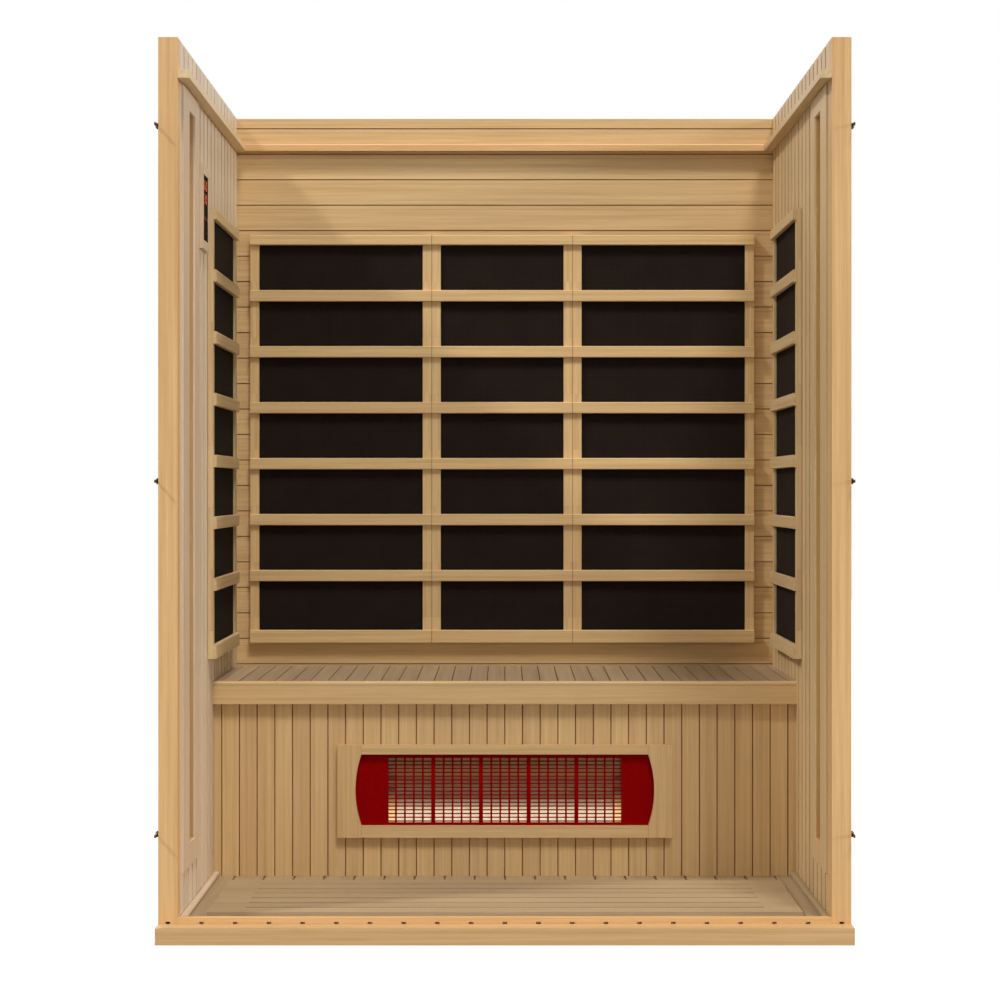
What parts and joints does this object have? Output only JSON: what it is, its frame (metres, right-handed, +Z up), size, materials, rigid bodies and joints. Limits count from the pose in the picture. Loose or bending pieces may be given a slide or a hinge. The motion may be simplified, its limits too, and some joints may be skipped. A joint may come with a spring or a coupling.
{
  "type": "infrared sauna cabin",
  "caption": "Open-fronted wooden infrared sauna cabin with slatted carbon heaters on its walls, a boarded bench, a red-faced quartz heater below it, slim side windows and a wall control.",
  "frame": {"origin": "on the ground, under the middle of the base", "axes": "+X to the right seen from the open front, +Y to the back wall, +Z up"},
  "size_m": [1.5166, 1.2, 1.956],
  "materials": {
    "hemlock": "planed, unfinished hemlock",
    "pale_hemlock": "planed, unfinished pale hemlock",
    "carbon_panel": "black woven heater cover",
    "window_glass": "clear toughened glass",
    "red_enamel": "satin red enamel",
    "reflector_steel": "polished reflector sheet",
    "galvanised_steel": "galvanised sheet",
    "quartz": "ruby quartz tube",
    "black_plastic": "gloss black moulded plastic",
    "dark_bronze": "dark bronzed steel"
  },
  "bodies": {
    "cabin": {"base_frame": "hemlock", "floor_boards": "pale_hemlock", "threshold_rail": "hemlock", "floor_duckboard": "pale_hemlock", "left_wall_core": "hemlock", "left_wall_inner_boards": "pale_hemlock", "left_wall_outer_boards": "hemlock", "left_window_trim": "pale_hemlock", "left_window_glass": "window_glass", "left_ceiling_ledge": "hemlock", "left_heater_guard": "hemlock", "left_heater_panel": "carbon_panel", "right_wall_core": "hemlock", "right_wall_inner_boards": "pale_hemlock", "right_wall_outer_boards": "hemlock", "right_window_trim": "pale_hemlock", "right_window_glass": "window_glass", "right_ceiling_ledge": "hemlock", "right_heater_guard": "hemlock", "right_heater_panel": "carbon_panel", "back_wall_core": "hemlock", "back_wall_inner_boards": "hemlock", "back_wall_outer_boards": "hemlock", "back_ceiling_ledge": "hemlock", "back_left_heater_guard": "hemlock", "back_left_heater_panel": "carbon_panel", "back_middle_heater_guard": "hemlock", "back_middle_heater_panel": "carbon_panel", "back_right_heater_guard": "hemlock", "back_right_heater_panel": "carbon_panel", "bench_top": "pale_hemlock", "bench_fascia": "hemlock", "bench_kick_panel": "hemlock", "bench_left_cleat": "hemlock", "bench_right_cleat": "hemlock", "quartz_heater_trim": "hemlock", "quartz_heater_face_plate": "red_enamel", "quartz_heater_grille": "red_enamel", "quartz_heater_housing": "galvanised_steel", "quartz_heater_reflector": "reflector_steel", "quartz_heater_upper_tube": "quartz", "quartz_heater_lower_tube": "quartz", "control_bezel": "hemlock", "control_face": "black_plastic", "left_top_latch_base": "dark_bronze", "left_middle_latch_base": "dark_bronze", "left_bottom_latch_base": "dark_bronze", "right_top_latch_base": "dark_bronze", "right_middle_latch_base": "dark_bronze", "right_bottom_latch_base": "dark_bronze"},
    "left_top_hook": {"left_top_latch_hook": "dark_bronze"},
    "left_middle_hook": {"left_middle_latch_hook": "dark_bronze"},
    "left_bottom_hook": {"left_bottom_latch_hook": "dark_bronze"},
    "right_top_hook": {"right_top_latch_hook": "dark_bronze"},
    "right_middle_hook": {"right_middle_latch_hook": "dark_bronze"},
    "right_bottom_hook": {"right_bottom_latch_hook": "dark_bronze"},
    "power_key": {"power_button": "black_plastic"},
    "light_key": {"light_button": "black_plastic"},
    "minus_key": {"minus_button": "black_plastic"},
    "plus_key": {"plus_button": "black_plastic"}
  },
  "joints": [
    {"name": "left_top_hook_swing", "type": "hinge", "parent": "cabin", "child": "left_top_hook", "pos_m": [-0.75, -0.531, 1.766], "axis": [-1, 0, 0], "range_deg": [-90, 90]},
    {"name": "left_middle_hook_swing", "type": "hinge", "parent": "cabin", "child": "left_middle_hook", "pos_m": [-0.75, -0.531, 0.995], "axis": [-1, 0, 0], "range_deg": [-90, 90]},
    {"name": "left_bottom_hook_swing", "type": "hinge", "parent": "cabin", "child": "left_bottom_hook", "pos_m": [-0.75, -0.531, 0.229], "axis": [-1, 0, 0], "range_deg": [-90, 90]},
    {"name": "right_top_hook_swing", "type": "hinge", "parent": "cabin", "child": "right_top_hook", "pos_m": [0.75, -0.531, 1.766], "axis": [-1, 0, 0], "range_deg": [-90, 90]},
    {"name": "right_middle_hook_swing", "type": "hinge", "parent": "cabin", "child": "right_middle_hook", "pos_m": [0.75, -0.531, 0.995], "axis": [-1, 0, 0], "range_deg": [-90, 90]},
    {"name": "right_bottom_hook_swing", "type": "hinge", "parent": "cabin", "child": "right_bottom_hook", "pos_m": [0.75, -0.531, 0.229], "axis": [-1, 0, 0], "range_deg": [-90, 90]},
    {"name": "power_press", "type": "slide", "parent": "cabin", "child": "power_key", "axis": [-1, 0, 0], "range_m": [0, 0.001], "stiffness_N_per_m": 800},
    {"name": "light_press", "type": "slide", "parent": "cabin", "child": "light_key", "axis": [-1, 0, 0], "range_m": [0, 0.001], "stiffness_N_per_m": 800},
    {"name": "minus_press", "type": "slide", "parent": "cabin", "child": "minus_key", "axis": [-1, 0, 0], "range_m": [0, 0.001], "stiffness_N_per_m": 800},
    {"name": "plus_press", "type": "slide", "parent": "cabin", "child": "plus_key", "axis": [-1, 0, 0], "range_m": [0, 0.001], "stiffness_N_per_m": 800}
  ]
}
